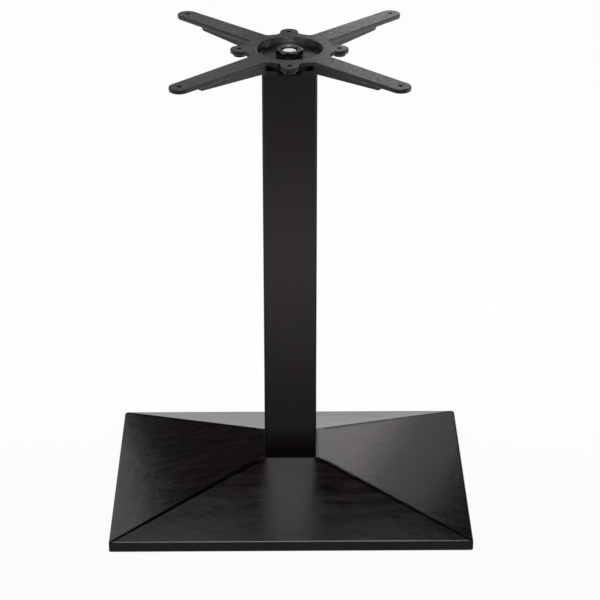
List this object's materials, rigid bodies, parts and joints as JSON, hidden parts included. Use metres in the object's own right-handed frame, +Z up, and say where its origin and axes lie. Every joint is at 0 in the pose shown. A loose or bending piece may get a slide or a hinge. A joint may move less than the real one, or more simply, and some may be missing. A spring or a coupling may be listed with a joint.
{
  "type": "table base",
  "caption": "Pedestal table base: hollow pyramid-shaped cast foot with levelling feet, square steel column, and a cross-shaped cast top with screw holes, held by a central tie rod.",
  "frame": {"origin": "on the floor, under the middle of the column, with the levelling feet screwed home", "axes": "+Z up along the column, +X along the foot's long side, the front towards -Y"},
  "size_m": [0.55, 0.4, 0.732],
  "materials": {
    "coated_casting": "satin black powder coat",
    "coated_tube": "satin black powder coat",
    "rod_steel": "bright sawn and deburred end, plain rod",
    "black_fasteners": "black oxide, worn bright on the edges",
    "stud_steel": "zinc plated",
    "pad_nylon": "moulded black nylon"
  },
  "bodies": {
    "pedestal": {"base_casting": "coated_casting", "top_spider": "coated_casting", "column_tube": "coated_tube", "tie_rod": "rod_steel", "upper_nut": "black_fasteners", "upper_washer": "black_fasteners", "lower_nut": "black_fasteners", "lower_washer": "black_fasteners"},
    "levelling_foot_front_left": {"foot_stud_front_left": "stud_steel", "foot_pad_front_left": "pad_nylon"},
    "levelling_foot_front_right": {"foot_stud_front_right": "stud_steel", "foot_pad_front_right": "pad_nylon"},
    "levelling_foot_back_left": {"foot_stud_back_left": "stud_steel", "foot_pad_back_left": "pad_nylon"},
    "levelling_foot_back_right": {"foot_stud_back_right": "stud_steel", "foot_pad_back_right": "pad_nylon"}
  },
  "joints": [
    {"name": "level_front_left", "type": "slide", "parent": "pedestal", "child": "levelling_foot_front_left", "axis": [0, 0, -1], "range_m": [0, 0.008]},
    {"name": "level_front_right", "type": "slide", "parent": "pedestal", "child": "levelling_foot_front_right", "axis": [0, 0, -1], "range_m": [0, 0.008]},
    {"name": "level_back_left", "type": "slide", "parent": "pedestal", "child": "levelling_foot_back_left", "axis": [0, 0, -1], "range_m": [0, 0.008]},
    {"name": "level_back_right", "type": "slide", "parent": "pedestal", "child": "levelling_foot_back_right", "axis": [0, 0, -1], "range_m": [0, 0.008]}
  ]
}
